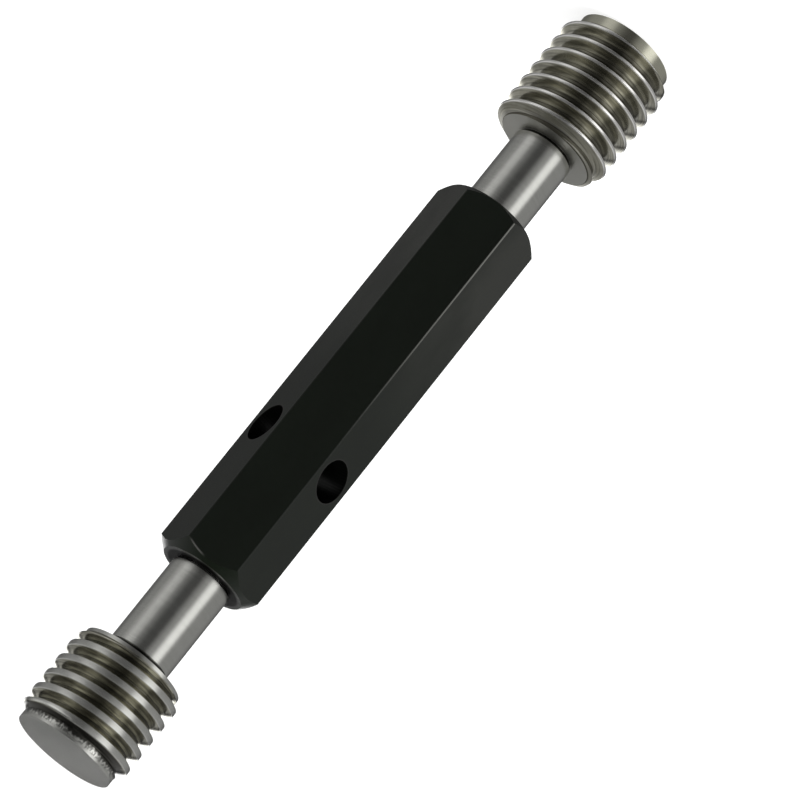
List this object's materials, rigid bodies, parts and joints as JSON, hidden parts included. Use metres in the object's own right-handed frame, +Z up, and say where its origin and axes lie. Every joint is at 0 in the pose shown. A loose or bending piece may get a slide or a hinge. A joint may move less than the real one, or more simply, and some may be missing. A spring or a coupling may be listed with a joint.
{
  "type": "double-ended thread plug gauge",
  "caption": "Double-ended thread plug gauge: a hexagonal handle with a threaded GO member wedged in one end and a shorter threaded NO-GO member in the other.",
  "frame": {"origin": "middle of the GO end face, which the gauge stands on", "axes": "+Z up along the gauge's axis, from the GO end to the NO-GO end; -Y out of the handle flat that lies between the two flats with the knock-out holes; +X to the right of that flat seen from the front"},
  "size_m": [0.014, 0.014, 0.1025],
  "materials": {
    "handle": "black oxide, satin",
    "gauge_steel": "ground and lapped"
  },
  "bodies": {
    "root": {"handle": "handle", "go_member": "gauge_steel", "no_go_member": "gauge_steel"}
  },
  "joints": []
}
